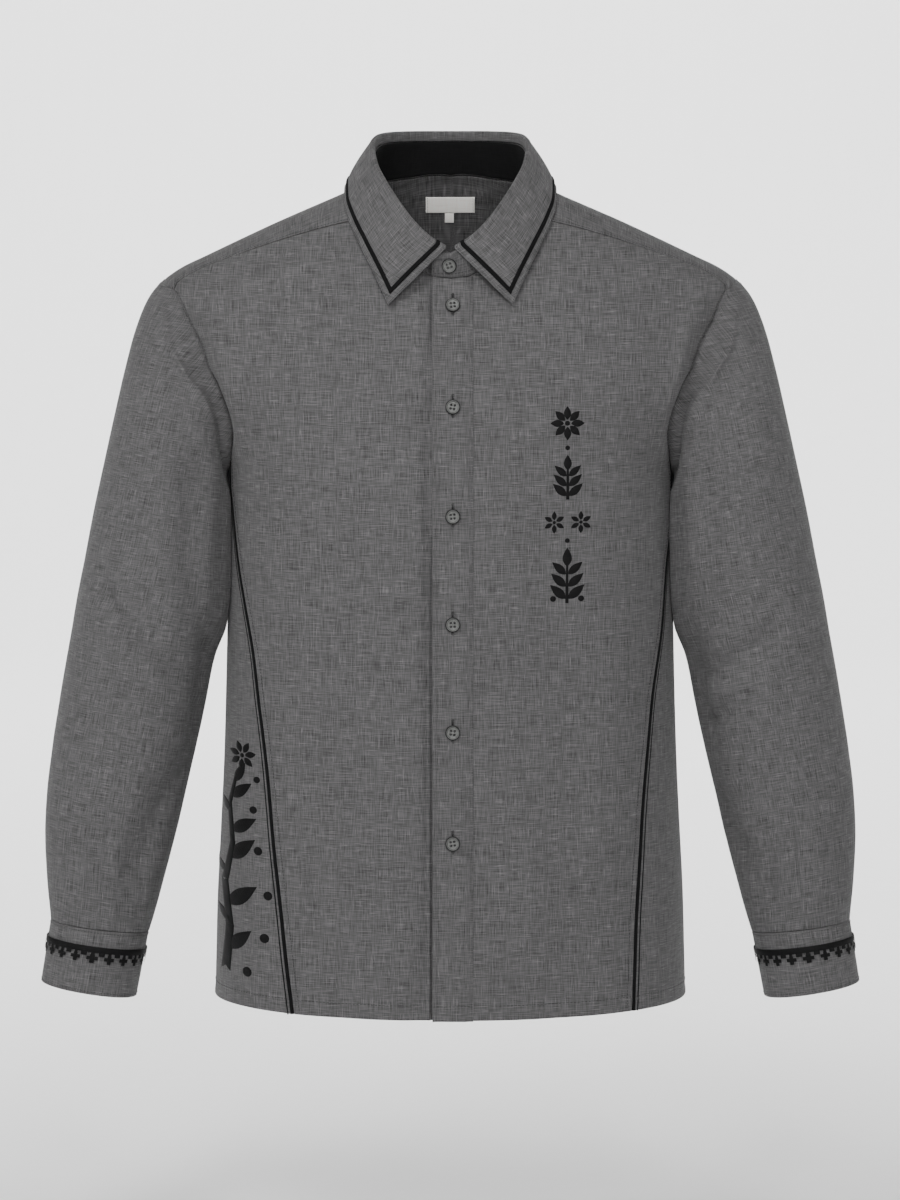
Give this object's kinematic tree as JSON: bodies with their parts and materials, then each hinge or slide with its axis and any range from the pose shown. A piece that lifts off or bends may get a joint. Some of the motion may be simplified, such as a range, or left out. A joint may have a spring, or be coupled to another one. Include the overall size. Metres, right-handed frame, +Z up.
{
  "type": "embroidered shirt",
  "caption": "Hollow, worn-form long-sleeved linen shirt with a pointed collar, button placket, cuffs and black piped seams.",
  "frame": {"origin": "between the shoulders at the base of the neck, level with the high shoulder points", "axes": "+Z up, the front faces -Y, +X to the wearer's left"},
  "size_m": [0.738, 0.2612, 0.7803],
  "materials": {
    "linen": "plain woven, slubby, matt",
    "black_trim": "close woven, matt",
    "button": "satin",
    "label": "fine woven, matt"
  },
  "bodies": {
    "root": {"back_panel": "linen", "yoke": "linen", "front_center_left": "linen", "front_center_right": "linen", "front_side_left": "linen", "front_side_right": "linen", "button_placket": "linen", "collar_stand": "linen", "collar": "linen", "sleeve_left": "linen", "sleeve_right": "linen", "cuff_left": "linen", "cuff_right": "linen", "sleeve_placket_left": "linen", "sleeve_placket_right": "linen", "seam_piping_left": "black_trim", "seam_piping_right": "black_trim", "collar_stand_facing": "black_trim", "collar_tape": "black_trim", "button_0": "button", "button_1": "button", "button_2": "button", "button_3": "button", "button_4": "button", "button_5": "button", "button_6": "button", "cuff_button_left": "button", "cuff_button_right": "button", "neck_label": "label", "size_tab": "label"}
  },
  "joints": []
}
